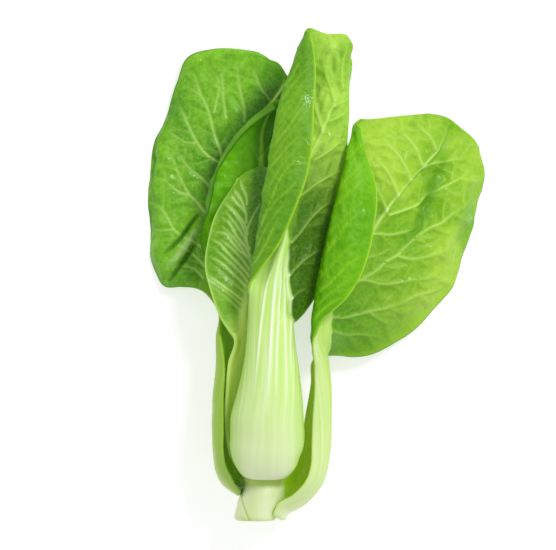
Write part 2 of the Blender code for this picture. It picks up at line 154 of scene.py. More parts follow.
# Front leaf, outer face to the viewer, left half folded over the midrib
FRONT_STALK = (
    (-20.5, -83.5, 37.5, 90, 9.4, 1.8, 4),
    (-20.5, -81.5, 41.5, 90, 12.3, 4.5, 6),
    (-20.5, -78.5, 44.5, 90, 13.8, 8, 7),
    (-20.5, -73.5, 47, 90, 14.9, 10.8, 7.5),
    (-20, -67, 48, 90, 15.2, 12.3, 8),
    (-20, -58.5, 48.5, 90, 14.9, 12.5, 7.5),
    (-19, -49, 48, 90, 13.5, 12, 7),
    (-18.5, -38.5, 47, 90, 11.7, 10.5, 6.5),
    (-18.5, -28, 46, 90, 10.2, 9, 6),
    (-18.5, -17.5, 45, 90, 9.4, 7.5, 5.5),
)
FRONT_BLADE = (
    (-27.5, -9.5, 41, -26.5, -9.5, 42, -24.5, -9, 43, -22, -9, 44, -18, -9, 44.5, -13.5, -11.5, 41.5,
     -10.5, -15.5, 36, -8, -19, 31.5),
    (-27, -4.5, 44, -26.5, -4, 43, -25, -3, 42.5, -22, -2.5, 43, -17, -2.5, 44, -11.5, -5.5, 40.5,
     -7.5, -11, 35, -4, -15, 30),
    (-23.5, 1, 47, -25.5, 2, 44.5, -25.5, 4, 42, -22, 5, 42, -16, 4, 43.5, -9.5, 0, 39, -5, -6, 33.5,
     -1, -10, 28.5),
    (-17, 9.5, 47.5, -22, 10, 46.5, -24, 13.5, 42.5, -20.5, 14, 41, -13, 15, 42.5, -5.5, 11.5, 38,
     0, 5.5, 32.5, 3.5, 1, 28),
    (-8, 28.5, 48, -15, 28.5, 48, -21.5, 31, 42.5, -17, 31.5, 39.5, -9.5, 30.5, 41, -1, 28, 38, 5, 23, 32.5,
     8.5, 18, 28),
    (-3.5, 41.5, 47, -12, 42.5, 47, -19, 46, 42.5, -14.5, 46.5, 39, -5, 44.5, 39.5, 2.5, 42.5, 37.5,
     7.5, 38.5, 32.5, 11, 33, 28.5),
    (-1.5, 57.5, 45, -9, 57.5, 46, -16.5, 61, 41.5, -11, 61, 38, 1, 55.5, 38.5, 6, 55.5, 37, 10, 52.5, 33,
     13, 48.5, 29.5),
    (-1, 69.5, 43, -7, 69.5, 44, -14, 72.5, 40, -8, 72, 36.5, 6, 67.5, 37.5, 9, 66, 36.5, 11, 64, 34.5,
     13, 61.5, 32),
    (-0.5, 81, 40.5, -5, 81.5, 41.5, -10, 84, 38, -4.5, 83, 35, 10.5, 76, 36, 12.5, 74.5, 35,
     13.5, 72.5, 33.5, 13.5, 70, 31.5),
    (-1, 91.5, 38, -4, 92.5, 38.5, -6.5, 93.5, 36, -0.5, 92, 34, 12, 85, 35, 13.5, 83, 34.5, 14, 80.5, 32.5,
     14, 77, 30.5),
    (-2.5, 98, 36.5, -3.5, 99, 36, -3, 100, 35, 4, 98.5, 33.5, 13, 97.5, 34, 15, 94.5, 33.5, 15, 89.5, 32,
     14.5, 84, 30.5),
)

# Right leaf, outer face to the viewer, left half folded over the midrib
RIGHT_STALK = (
    (-12.5, -100.5, 23, 0, 9.5, 5.5, 3),
    (-11.5, -98.5, 23, -2, 10, 6.3, 4),
    (-8, -96.5, 22.5, -8, 10.8, 7.5, 4.8),
    (-4, -93.5, 22, -14, 11.5, 9, 5.4),
    (-0.5, -89.5, 21.5, -18, 12.2, 10, 6),
    (2.5, -85, 21, -18, 12.6, 10.5, 6.2),
    (4.5, -79, 20.5, -16, 12.8, 10.3, 6.5),
    (6, -70, 20, -10, 13, 9.8, 6.8),
    (6.5, -57.5, 20, -6, 12.5, 8.8, 6.5),
    (6.5, -45.5, 21, -3, 11, 7.4, 6),
    (5.5, -36, 22.5, 0, 9.5, 6, 5.2),
)
RIGHT_BLADE = (
    (-0.5, -27, 36, 0, -25.5, 34.5, 0.5, -25, 33, 2, -24.5, 31.5, 4, -24, 29, 5.5, -27, 25, 6, -30.5, 19.5,
     6.5, -33.5, 14),
    (2.5, -18.5, 39, -0.5, -18.5, 38, -0.5, -17.5, 35.5, 1.5, -16, 32.5, 5, -14, 30, 9, -19.5, 25,
     13, -27.5, 18, 15, -34, 11.5),
    (9.5, -12, 40.5, 4.5, -11.5, 41, 0.5, -9.5, 37.5, 3.5, -7, 33, 9.5, -3.5, 30.5, 16.5, -11, 25.5,
     23, -22, 18, 27, -31.5, 9.5),
    (17.5, -1.5, 40.5, 10, -0.5, 42.5, 3, 5.5, 38.5, 7, 7, 33.5, 15.5, 8, 30.5, 24, -0.5, 24,
     33.5, -13, 18.5, 38.5, -24.5, 6.5),
    (22, 13, 39.5, 14.5, 15, 42.5, 6.5, 23, 38.5, 11, 23.5, 33.5, 22.5, 18, 29.5, 31.5, 10.5, 22.5,
     41.5, -2.5, 18.5, 48.5, -15.5, 3.5),
    (24.5, 28.5, 37, 18, 30.5, 40.5, 10.5, 38.5, 37, 15, 38.5, 32, 30, 28, 27.5, 39, 21.5, 20,
     48.5, 9.5, 17.5, 57, -4.5, 1.5),
    (22.5, 42.5, 34, 19, 44.5, 37, 13.5, 51, 34.5, 19, 50.5, 29.5, 38, 37.5, 24, 46, 32.5, 17, 55, 22.5, 16,
     63, 12.5, 0),
    (19.5, 51, 32.5, 18, 53.5, 35, 15, 56.5, 32, 22.5, 57, 26, 45.5, 46, 19.5, 52.5, 42, 13.5,
     60.5, 33.5, 13.5, 67.5, 28, 0),
    (18.5, 55.5, 33, 17, 57.5, 33.5, 16, 60, 30, 25.5, 61, 23, 51.5, 53, 15.5, 57.5, 49.5, 11,
     64, 44.5, 10.5, 70, 43, 2.5),
    (18.5, 59, 32.5, 17.5, 60, 32, 18, 62, 28.5, 31, 65, 20, 56, 64.5, 12.5, 61, 60.5, 9.5, 65, 57.5, 8,
     68, 53, 6),
)

# Left leaf, inner face to the viewer, blade on the surface
LEFT_STALK = (
    (-32, -90.5, 22, 190, 7, 3, 3.2),
    (-35, -88.5, 22, 192, 9, 5.2, 4.2),
    (-38, -86, 21.5, 194, 10.5, 7.2, 4.6),
    (-40.5, -81, 21, 195, 11.5, 7, 4.8),
    (-41.5, -73.5, 20.5, 196, 12.5, 6.7, 4.8),
    (-42, -64.5, 20, 196, 12.5, 7.2, 4.6),
    (-42, -51.5, 19.5, 195, 11.5, 6.5, 4.6),
    (-40.5, -38.5, 18.5, 200, 9.8, 6, 4.5),
    (-39.5, -26, 16.5, 212, 8, 4.5, 4.2),
)
LEFT_BLADE = (
    (-40.5, -15, 19, -40, -15.5, 16.5, -39, -16, 14.5, -37.5, -15.5, 13, -35, -15.5, 11.5, -33, -16, 11),
    (-47, -6.5, 13, -44, -7, 13, -42, -7, 12, -39.5, -6, 11, -35, -6.5, 8.5, -30, -7.5, 8),
    (-55.5, -5, 8, -51, -2.5, 9.5, -46, -0.5, 9.5, -42.5, 2, 8.5, -36, 1, 6, -27, -1, 5.5),
    (-63, -4.5, 4, -58, 1, 8, -51.5, 5.5, 6.5, -42.5, 9.5, 7, -33.5, 9.5, 5.5, -23, 8, 6),
    (-67, 3.5, 1, -62, 11, 6.5, -54, 15.5, 4, -43, 19.5, 6, -32.5, 19, 5.5, -21, 17.5, 7),
    (-68.5, 18.5, -0.5, -64, 24, 4.5, -55, 27, 3.5, -41.5, 29.5, 5.5, -31, 28.5, 5.5, -19, 27, 7.5),
    (-69, 35.5, -0.5, -64, 39.5, 3.5, -54, 40.5, 4, -38.5, 40.5, 5.5, -28.5, 39, 6, -17, 36, 8),
    (-67, 53.5, 0.5, -62, 56, 3.5, -51.5, 54.5, 4.5, -34, 50, 6, -25, 47.5, 6.5, -15, 44.5, 8.5),
    (-62.5, 64.5, 1.5, -57, 67.5, 4, -46, 65, 5, -29, 57.5, 6, -21.5, 54.5, 7, -12.5, 52, 8.5),
    (-57.5, 79.5, 3, -52.5, 80, 5, -41.5, 74.5, 5.5, -24.5, 64, 6.5, -17.5, 61.5, 7.5, -11, 59, 8.5),
    (-53, 90.5, 5, -48, 88.5, 6, -36, 80.5, 6, -20, 69, 7, -15, 66.5, 8, -10, 64.5, 8.5),
    (-42.5, 93.5, 5.5, -39, 91.5, 6.5, -29, 84.5, 7, -16.5, 73.5, 7.5, -12.5, 71.5, 8, -9, 70, 8.5),
    (-29.5, 93.5, 6.5, -26, 92, 7, -20.5, 87.5, 7.5, -13.5, 78.5, 8, -11, 76.5, 8, -9, 75, 8.5),
    (-23.5, 92, 7, -19.5, 90, 7.5, -16, 88, 7.5, -12.5, 84, 8, -11, 82, 8.5, -10, 79.5, 8.5),
)

# Back leaf, stalk on the surface, upper left margin turned over
BACK_STALK = (
    (-22, -85.5, 12.5, -90, 7.5, 3.5, 4),
    (-22, -83.5, 7, -90, 8.5, 4, 5),
    (-22, -78.5, 2, -90, 9.5, 5, 5.5),
    (-21, -72, 0, -90, 10, 5, 6),
    (-20.5, -62.5, -0.5, -90, 10, 5, 6),
    (-20, -51, 0, -90, 9.5, 4.5, 5.5),
    (-20, -37.5, 1.5, -90, 9, 4, 5),
    (-20, -25, 3.5, -90, 8.5, 3.5, 4.5),
)
BACK_BLADE = (
    (-29, -12.5, 9, -27, -13, 7.5, -24, -13.5, 6, -20, -13.5, 6, -15.5, -13.5, 7, -11.5, -13, 8.5),
    (-34.5, -5.5, 12, -32, -4, 11, -27, -2.5, 9.5, -21, -1, 8, -14.5, -2.5, 9, -8, -5, 10),
    (-42, 2, 14, -38.5, 4.5, 13.5, -31, 8.5, 12, -22, 11, 10.5, -13.5, 8.5, 10.5, -5.5, 3.5, 11),
    (-47.5, 12.5, 15, -43, 16, 14.5, -34, 20.5, 13.5, -22.5, 24, 12.5, -13, 21, 12, -3.5, 15.5, 12),
    (-44, 28.5, 19, -45.5, 29.5, 17, -34.5, 34, 14.5, -23, 37.5, 13.5, -13, 34.5, 13.5, -3, 28.5, 13),
    (-40.5, 42, 20, -41.5, 43, 18, -33, 46.5, 15, -22.5, 49.5, 14.5, -13.5, 46.5, 14, -4.5, 41.5, 13.5),
    (-34.5, 53, 21.5, -36.5, 53.5, 19, -31, 58, 16.5, -22, 60, 15, -14, 58, 14.5, -6.5, 54.5, 14),
    (-26.5, 61, 22, -28.5, 63, 20, -24.5, 65.5, 17, -19.5, 66.5, 16, -14, 65.5, 15, -8.5, 62.5, 14.5),
    (-16.5, 68.5, 22, -18.5, 71.5, 19.5, -15.5, 73, 17, -13, 73, 16, -11, 71.5, 15.5, -9, 69.5, 15),
)

# Small inner leaf behind the front stalk
INNER_STALK = (
    (-27.5, -81.5, 26, 236, 5, 2, 3),
    (-29, -78.5, 24.5, 236, 6, 3, 3.6),
    (-31.5, -74.5, 23.5, 236, 6.5, 3.6, 4),
    (-33.5, -67, 22.5, 236, 7, 4, 4.2),
    (-34, -57.5, 22.5, 236, 7, 4, 4.2),
    (-33.5, -47, 23, 236, 6.7, 3.5, 4),
    (-32, -36, 24.5, 241, 6.2, 3, 3.6),
    (-29.5, -26.5, 25.5, 248, 5.8, 2.4, 3.3),
)
INNER_BLADE = (
    (-35.5, -23.5, 30, -34, -23.5, 28.5, -30.5, -20, 27, -27, -19, 27.5, -24, -17.5, 28.5),
    (-41, -13.5, 30.5, -36, -12.5, 28, -28.5, -10, 27.5, -24.5, -8.5, 28.5, -20.5, -7, 30),
    (-44, -4, 29, -38, -1.5, 27.5, -27.5, 1, 28, -22.5, 2, 29.5, -17.5, 3.5, 31),
    (-45.5, 5.5, 27.5, -38.5, 8.5, 27, -27, 12.5, 28, -21.5, 13, 30, -16, 14.5, 31.5),
    (-44.5, 13, 27, -37.5, 17.5, 26.5, -27, 22, 27.5, -21, 23, 29.5, -15.5, 23.5, 31),
    (-41.5, 24, 27, -35.5, 27.5, 26.5, -27, 30.5, 27, -21.5, 31.5, 28.5, -17, 32.5, 30),
    (-37, 32, 26.5, -32.5, 35, 26, -26.5, 37.5, 26.5, -22, 38, 27.5, -18, 38.5, 28.5),
    (-32, 39, 26, -29, 42, 26, -25, 43.5, 26, -22, 44.5, 27, -19.5, 43.5, 27.5),
)

# Stem base: Y, centre X, half width, half height
BUTT_RINGS = (
    (-100.5, -24.9, 7.9, 9.2),
    (-99.6, -24.9, 8.6, 9.9),
    (-96.5, -24.0, 8.9, 10.3),
    (-92.0, -22.5, 9.4, 10.4),
    (-88.0, -21.4, 8.8, 10.2),
    (-85.4, -21.2, 8.4, 9.5),
    (-83.1, -21.2, 9.1, 8.8),
    (-82.5, -21.0, 5.4, 6.0),
    (-80.0, -20.5, 2.4, 3.0),
)

# Veins seen from above: leaf, face they stand out on, limits along its control columns and rows,
# then for each vein its width and its points as X, Y, X, Y
VEINS = (
    ("leaf_front", "outer", (3.1, 7), (6, 21), (
        (0.8, -1.5, 46.5, 4.5, 50, 9.5, 53.5, 11.5, 54.5),
        (1, -6.5, 32, -1, 36.5, 5, 40, 10, 42.5),
        (1, -10.5, 13, -6.5, 17, -2.5, 22.5, 2.5, 27.5, 7.5, 30.5),
        (0.8, -11, -0.5, -6.5, 4.5, -3.5, 7, 3.5, 11),
        (0.6, -10.5, -10, -7, -7, -3.5, -5.5),
        (0.6, 5, 62.5, 7.5, 63.5, 12, 66),
        (0.5, 7, 68.5, 10, 70, 13, 71),
        (0.6, 2.5, 57.5, 1, 64, -1, 70.5, -1.5, 76),
        (0.6, 7.5, 70.5, 5.5, 77, 3.5, 83, 2.5, 87.5),
        (0.5, 11, 75.5, 10.5, 82, 11, 87.5, 12.5, 93.5),
        (0.6, -4.5, 40, -6.5, 47, -6.5, 55),
    )),
    ("leaf_front", "inner", (0, 2.2), (10, 21), (
        (0.7, -26, 3, -23.5, 7, -20, 13, -17, 19.5, -14.5, 24),
        (0.8, -22, 20, -20, 25.5, -17.5, 32, -13, 41.5, -8.5, 46.5, -5, 50.5),
        (0.6, -21.5, 23, -18, 28, -13, 33, -9, 37, -6.5, 41),
        (0.6, -18.5, 43.5, -14.5, 48.5, -9.5, 54, -5.5, 58),
        (0.7, -17, 52, -14.5, 56, -10.5, 60.5, -6.5, 67, -3.5, 71.5),
        (0.6, -13.5, 71, -10.5, 75.5, -6.5, 80.5, -3, 84.5),
        (0.6, -12.5, 76.5, -10.5, 79, -6.5, 86, -4.5, 88),
        (0.5, -13, 79.5, -11, 83, -8.5, 88, -5.5, 92),
        (0.45, -15.5, 59.5, -12, 66, -8, 72.5, -3.5, 78),
        (0.45, -17.5, 47.5, -13.5, 53.5, -9, 59.5, -4.5, 64.5),
        (0.45, -19.5, 34.5, -15, 42.5, -10, 49, -5, 54),
        (0.45, -23.5, 12, -19.5, 20, -15, 26.5, -10.5, 32),
        (0.4, -16, 56, -13, 61, -8.5, 66.5, -4, 74),
        (0.45, -14.5, 65.5, -10.5, 71, -6.5, 76, -3, 81.5),
    )),
    ("leaf_front", "outer", (1, 7), (5, 13), (
        (1, -25.5, -52.5, -23.5, -30.5, -22, -16, -20, -4, -16, 7),
        (1.5, -20.5, -58.5, -19, -34.5, -18, -18, -17, -4, -14.5, 9.5),
        (1.1, -16.5, -50.5, -16, -30.5, -15.5, -16, -15, -2, -13.5, 11),
        (1, -12.5, -54.5, -12.5, -30.5, -13, -16, -13, -2, -12.5, 11),
        (0.8, -9.5, -46.5, -10.5, -30.5, -10.5, -16, -11.5, -2, -12, 10),
    )),
    ("leaf_right", "outer", (4, 7), (8, 21), (
        (1.1, 29.5, 24.5, 35.5, 26.5, 38.5, 27.5, 42, 29, 45.5, 33, 51, 35.5, 59.5, 40, 63.5, 42.5),
        (0.8, 21.5, 16.5, 24, 17, 29.5, 16.5, 35.5, 17.5, 39, 18.5, 43, 22),
        (1.1, 15, -3.5, 20, -1, 25.5, 2.5, 29.5, 6, 33.5, 8, 35.5, 10.5, 41, 15.5, 47, 19.5, 52, 21.5,
         56, 25, 59.5, 27, 64, 31.5),
        (0.7, 33.5, 8, 38.5, 6.5, 45.5, 7.5, 50, 9, 54.5, 10.5),
        (0.6, 17.5, 5.5, 22, 7.5, 26.5, 8.5, 31.5, 11.5),
        (0.8, 16, -2.5, 20, -2, 25.5, -3.5, 32.5, -3.5, 39.5, -2, 47, -1, 52.5, 1.5),
        (1.1, 6, -17, 8.5, -17, 10.5, -17.5, 16, -16.5, 22, -15, 29, -13.5, 37.5, -11),
        (0.6, 22, -15.5, 27, -18.5, 31.5, -21),
        (0.7, 36, -11.5, 39.5, -9, 47.5, -7, 51.5, -6),
        (0.7, 6, -22.5, 9, -23.5, 12.5, -24.5, 19, -24.5, 25.5, -26),
        (0.7, 44.5, 44, 45.5, 45, 52, 46.5, 56, 47.5, 61.5, 48),
    )),
    ("leaf_right", "outer", (2.2, 4), (13, 21), (
        (0.7, 49.5, 51.5, 47.5, 56.5, 44, 60, 41, 63),
        (0.8, 44, 45, 41.5, 51, 38, 56, 33.5, 59.5),
        (0.8, 39, 38.5, 36.5, 45, 32.5, 50.5, 28, 55),
        (0.8, 34, 32, 31.5, 38, 28, 44, 24.5, 47),
        (0.7, 29, 25.5, 27.5, 30, 25.5, 34, 24, 36.5),
    )),
    ("leaf_right", "inner", (0, 2.2), (10, 20), (
        (0.7, 0.5, 3, 2, 5.5, 6, 11.5, 9.5, 17, 13.5, 22, 18.5, 27),
        (0.7, -0.5, -9, 0.5, -7.5, 5, -4, 9.5, 1, 13.5, 5, 17.5, 7.5, 20, 10),
        (0.6, 0, -17.5, 1, -16, 5, -12, 9.5, -9, 13, -7),
        (0.6, 5.5, 25, 9.5, 29.5, 14.5, 34.5, 20, 39.5),
        (0.6, 9.5, 34.5, 13.5, 40, 16.5, 43, 20, 47.5),
        (0.5, 13.5, 47.5, 17, 51.5, 20, 55),
        (0.45, 2.5, 12.5, 7, 18.5, 13, 25, 19.5, 32),
        (0.45, 0.5, -3.5, 4.5, 2, 10.5, 8.5, 18.5, 16),
        (0.45, 0, -13.5, 4.5, -8.5, 10.5, -3.5, 16, 1),
        (0.45, 6.5, 30, 11, 35.5, 16, 40, 20.5, 44),
    )),
    ("leaf_left", "inner", (0, 5), (8, 23), (
        (0.8, -39, 47.5, -39.5, 51.5, -42, 58.5, -43.5, 65, -47.5, 74.5, -51.5, 77.5, -54.5, 79.5),
        (0.8, -39.5, 46.5, -41.5, 47.5, -44.5, 49.5, -49, 55, -51.5, 59.5, -55.5, 69, -57.5, 73),
        (0.8, -45.5, 25.5, -46.5, 26.5, -49, 30, -52, 33, -56.5, 34.5, -61.5, 38.5, -65.5, 41.5),
        (0.6, -52, 33, -55, 38, -58.5, 46.5, -60.5, 52),
        (0.8, -46.5, 10.5, -50, 13.5, -55.5, 16, -59, 19, -62, 25, -67, 31.5),
        (0.5, -59, 19, -63.5, 18.5, -67.5, 19),
        (0.6, -42, 67.5, -41.5, 70, -40, 79.5, -42, 84.5),
        (0.6, -37, 65, -38, 72, -38.5, 80, -39.5, 87),
        (0.6, -29.5, 63.5, -29.5, 67.5, -31.5, 79, -32.5, 89),
        (0.6, -18, 71.5, -20, 74, -22.5, 77.5, -25.5, 85.5),
        (0.7, -45.5, 2.5, -47, 4.5, -53, 10, -57, 12, -62, 13),
        (0.6, -46.5, -2, -50, 2, -55.5, 3.5, -60.5, 3),
        (0.5, -49, 55, -53, 55, -58, 57.5, -61.5, 61),
        (0.5, -47.5, 74.5, -49.5, 81, -51, 85),
        (0.6, -43, 35.5, -46.5, 39.5, -50.5, 43, -54.5, 47, -57, 52.5),
    )),
    ("leaf_back", "inner", (0, 5), (7, 17), (
        (0.8, -24, 24.5, -28, 31, -33, 36.5, -38, 42.5),
        (0.7, -25, 37, -29, 42.5, -32.5, 48, -35.5, 52.5),
        (0.6, -23.5, 47.5, -26.5, 52.5, -29, 57.5),
        (0.8, -23, 12.5, -29, 19.5, -35.5, 25, -42, 31),
        (0.7, -22, 5.5, -29.5, 9.5, -37, 13, -45.5, 15.5),
        (0.5, -32.5, 42, -34, 44.5, -35.5, 47),
        (0.7, -24, 24.5, -19, 31, -13, 36),
        (0.7, -24.5, 37, -19.5, 43.5, -14.5, 48),
        (0.6, -24, 47.5, -20, 52.5, -16, 56.5),
        (0.8, -23, 12.5, -17, 18.5, -10.5, 23.5),
    )),
    ("leaf_inner", "inner", (0, 4), (6, 16), (
        (0.7, -28.5, 28.5, -28.5, 32.5, -30.5, 37, -31.5, 40),
        (0.8, -28.5, 24, -29.5, 28, -32.5, 34, -34.5, 36),
        (0.9, -28.5, 13, -28.5, 14.5, -32.5, 24.5, -38, 31),
        (1, -27, 7, -27.5, 9, -32.5, 16, -36.5, 22.5, -39.5, 23.5),
        (1, -26.5, 3, -26.5, 4.5, -32.5, 11, -38, 17.5, -42, 17.5),
        (0.9, -27, -1, -29.5, 2, -35, 8, -41, 14, -44, 15),
        (0.9, -28.5, -5, -32.5, -1, -38, 4.5, -44, 8),
        (0.9, -30, -10.5, -36.5, -5.5, -42, -1.5, -44.5, 0.5),
        (0.4, -31, -15, -36, -10, -41, -6, -44, -3.5),
        (0.7, -28.5, 21, -29, 25.5, -33, 30.5, -35.5, 34.5),
        (0.7, -28, 16, -28.5, 19, -33, 26, -36.5, 29.5),
        (0.7, -27, 10, -28.5, 13.5, -33, 21, -38.5, 27.5),
        (0.7, -26.5, 5, -28.5, 8, -33.5, 15, -39.5, 21),
        (0.7, -26.5, 1, -28.5, 4, -34, 10.5, -40.5, 15.5),
        (0.7, -27.5, -3.5, -31, 1, -37, 7, -43.5, 12),
        (0.45, -28.5, -8, -33.5, -3.5, -39.5, 2, -44.5, 5.5),
        (0.4, -30.5, -12.5, -36, -7.5, -41, -3.5, -45, -1),
        (0.7, -28.5, 18, -25.5, 25, -22, 30.5),
        (0.7, -26, 5.5, -23, 12.5, -19.5, 17.5),
        (0.7, -26.5, -6, -23.5, 0, -20.5, 5.5),
    )),
)

# Folds seen from above, in the same form, but each has its width and depth before its points
FOLDS = {
    "leaf_left": ((0, 5), (8, 23), (
        (1, 1.9, -47.5, 25.5, -51.5, 21, -55.5, 16, -62.5, 8.5),
        (1, 1.9, -49, 13.5, -53, 8, -57, 2.5, -61, -3),
        (2, -1.8, -48.5, 19.5, -52.5, 14, -56.5, 8.5, -61.5, 3),
        (1.2, 1, -62, 67.5, -66, 56, -67, 43.5, -67.5, 31),
    )),
    "leaf_right": ((4, 7), (8, 21), (
        (2.8, 1.6, 53.5, 49.5, 50, 40, 47, 34, 45, 27, 41.5, 20, 35.5, 11.5),
        (2, 1.3, 29.5, 37, 36.5, 46, 43, 52, 49.5, 57, 56, 60),
        (2.6, 0.6, 14, -9.5, 23, -7, 33, -6, 43, -5),
        (2.6, 0.7, 43, 2, 51, 5.5, 57.5, 9.5),
    )),
    "leaf_front": ((3.1, 7), (10, 21), (
        (1.1, 0.6, 2.5, 61.5, 0.5, 70, -0.5, 78.5),
        (1.1, 0.6, 9.5, 74.5, 8, 80.5, 6.5, 85.5, 8, 92),
        (2.4, 0.7, -6.5, 8, -1.5, 14.5, 4, 20),
        (2.2, 0.6, -5.5, 24.5, 0, 29.5, 5.5, 34),
    )),
}

# Colours of each leaf: inner face deep and light, outer face deep and light
GREENS = per_leaf(
    ((0.075, 0.26, 0.006), (0.125, 0.34, 0.012), (0.18, 0.44, 0.015), (0.43, 0.71, 0.08)),
    ((0.09, 0.35, 0.001), (0.13, 0.42, 0.002), (0.15, 0.39, 0.002), (0.34, 0.58, 0.035)),
    ((0.07, 0.29, 0.004), (0.17, 0.47, 0.012), (0.20, 0.42, 0.05), (0.34, 0.56, 0.10)),
    # The back leaf's outer face is its own green darkened by painted shade
    ((0.13, 0.47, 0.004), (0.20, 0.59, 0.008), (0.04, 0.18, 0.003), (0.13, 0.37, 0.010)),
    ((0.11, 0.33, 0.004), (0.21, 0.48, 0.012), (0.22, 0.44, 0.05), (0.34, 0.58, 0.10)),
)
# Vein on the inner face, vein on the outer face, and a deep green for darker mottling and for painted shade
VEIN_COLOURS = per_leaf(
    ((0.28, 0.56, 0.03), (0.46, 0.72, 0.10), (0.024, 0.11, 0.003)),
    ((0.34, 0.66, 0.02), (0.50, 0.76, 0.14), (0.08, 0.28, 0.004)),
    ((0.52, 0.78, 0.18), (0.46, 0.66, 0.20), (0.03, 0.14, 0.006)),
    ((0.22, 0.54, 0.03), (0.22, 0.44, 0.06), (0.035, 0.15, 0.004)),
    ((0.56, 0.80, 0.22), (0.46, 0.68, 0.20), (0.05, 0.18, 0.010)),
)
# Thin line along the margin, inner face then outer face: a painted highlight where it is lighter than the
# face, painted shade where it is darker
EDGE_HIGHLIGHT_AND_SHADE = per_leaf(
    ((0.38, 0.68, 0.02), (0.30, 0.58, 0.05)),
    ((0.40, 0.72, 0.03), (0.12, 0.34, 0.01)),
    ((0.05, 0.20, 0.006), (0.05, 0.20, 0.006)),
    ((0.05, 0.19, 0.005), (0.03, 0.13, 0.003)),
    ((0.46, 0.74, 0.14), (0.46, 0.74, 0.14)),
)
# Height in millimetres by which the blade bulges between its veins
QUILT = per_leaf(0.85, 1.0, 1.15, 0.8, 0.55)
# Least noise that counts as wet, lower for a glossier leaf
WETNESS = per_leaf(0.55, 0.55, 0.54, 0.55, 0.46)
# Stalk colours from the base to the neck on the outer face, its edges, inner face and streaks,
# and the places of the first four along the leaf
STALK_STOPS = (0.0, 0.13, 0.28, 0.44)
STALKS = per_leaf(
    (((0.74, 0.81, 0.53), (0.62, 0.78, 0.35), (0.54, 0.79, 0.21), (0.50, 0.76, 0.17)),
     (0.36, 0.62, 0.06), (0.42, 0.62, 0.14), (0.86, 0.94, 0.64)),
    (((0.76, 0.83, 0.54), (0.58, 0.74, 0.29), (0.49, 0.70, 0.17), (0.45, 0.68, 0.12)),
     (0.58, 0.74, 0.30), (0.58, 0.86, 0.010), (0.76, 0.88, 0.48)),
    (((0.60, 0.72, 0.34), (0.40, 0.59, 0.12), (0.33, 0.54, 0.06), (0.30, 0.52, 0.05)),
     (0.27, 0.48, 0.04), (0.25, 0.50, 0.008), (0.46, 0.66, 0.16)),
    (((0.60, 0.70, 0.36), (0.60, 0.74, 0.34), (0.58, 0.74, 0.30), (0.50, 0.70, 0.22)),
     (0.50, 0.70, 0.22), (0.38, 0.58, 0.08), (0.80, 0.90, 0.54)),
    (((0.50, 0.68, 0.18), (0.42, 0.62, 0.13), (0.40, 0.60, 0.12), (0.42, 0.64, 0.14)),
     (0.52, 0.72, 0.24), (0.54, 0.75, 0.11), (0.58, 0.76, 0.28)),
)

# Painted highlight on raised folds, painted shade in the grooves between a stalk's streaks, and a stalk's
# veins
RIDGE_HIGHLIGHT = (0.46, 0.66, 0.26)
STREAK_SHADE = (0.36, 0.60, 0.06)
STALK_VEIN = (0.94, 0.98, 0.84)
# Stem base: skin and cut face, each deep and light, and its seams
BUTT_SKIN = ((0.60, 0.73, 0.33), (0.72, 0.81, 0.48))
CUT_FACE = ((0.66, 0.72, 0.44), (0.86, 0.88, 0.68))
SEAM_COLOUR = (0.50, 0.68, 0.08)
# Painted shade on each leaf, a darker window where shade falls: its face, limits along the control columns,
# then along the control rows
PAINTED_SHADE = per_leaf(
    ("outer", (4.0, 4.5, 8.0, 9.0), (6.0, 8.0, 13.0, 17.0)),
    ("outer", (3.6, 4.6, 6.5, 7.5), (8.0, 9.0, 12.0, 16.0)),
    ("inner", (2.4, 2.9, 6.0, 7.0), (8.0, 9.5, 20.0, 22.0)),
    ("inner", (2.5, 3.0, 6.0, 7.0), (11.5, 13.0, 20.0, 22.0)),
    ("inner", (1.7, 2.4, 5.0, 6.0), (8.0, 9.0, 14.0, 18.0)),
)


def unit(vectors):
    return vectors / np.maximum(np.linalg.norm(vectors, axis=-1, keepdims=True), 1e-9)


def spline(points, steps):
    """Smooth curve through points along the first axis, with given steps in each gap."""
    gaps = np.maximum(np.linalg.norm(np.diff(points, axis=0), axis=-1, keepdims=True), 1e-6)
    slopes = np.diff(points, axis=0) / gaps
    inner = (slopes[:-1] * gaps[1:] + slopes[1:] * gaps[:-1]) / (gaps[:-1] + gaps[1:])
    first = 1.5 * slopes[:1] - 0.5 * inner[:1]
    last = 1.5 * slopes[-1:] - 0.5 * inner[-1:]
    tangents = np.concatenate([first, inner, last])
    pieces = []
    for index, count in enumerate(steps):
        t = (np.arange(count) / count).reshape((-1,) + (1,) * (points.ndim - 1))
        rise = t * t * (3 - 2 * t)
        leave = t * (1 - t) ** 2
        arrive = t * t * (t - 1)
        straight = points[index] * (1 - rise) + points[index + 1] * rise
        pieces.append(straight + gaps[index] * (leave * tangents[index] + arrive * tangents[index + 1]))
    return np.concatenate(pieces + [points[-1:]])


def places(steps):
    """Control index of each sample that spline makes."""
    parts = [index + np.arange(count) / count for index, count in enumerate(steps)]
    return np.concatenate(parts + [[float(len(steps))]])


def ramp(values, where):
    return np.interp(where, np.arange(len(values)), np.asarray(values, float))


def sample_steps(points, size):
    """Steps for each gap along the first axis, so that samples lie about size apart."""
    lengths = np.linalg.norm(np.diff(points, axis=0), axis=-1)
    lengths = np.percentile(lengths.reshape(len(lengths), -1), 85, axis=1)
    return [max(3, int(round(length))) for length in lengths / size]


def smooth_step(low, high, value):
    t = np.clip((value - low) / (high - low), 0, 1)
    return t * t * (3 - 2 * t)


def window(where, limits):
    """One between the two middle limits, falling to nothing at the outer two."""
    return smooth_step(limits[0], limits[1], where) * (1 - smooth_step(limits[2], limits[3], where))


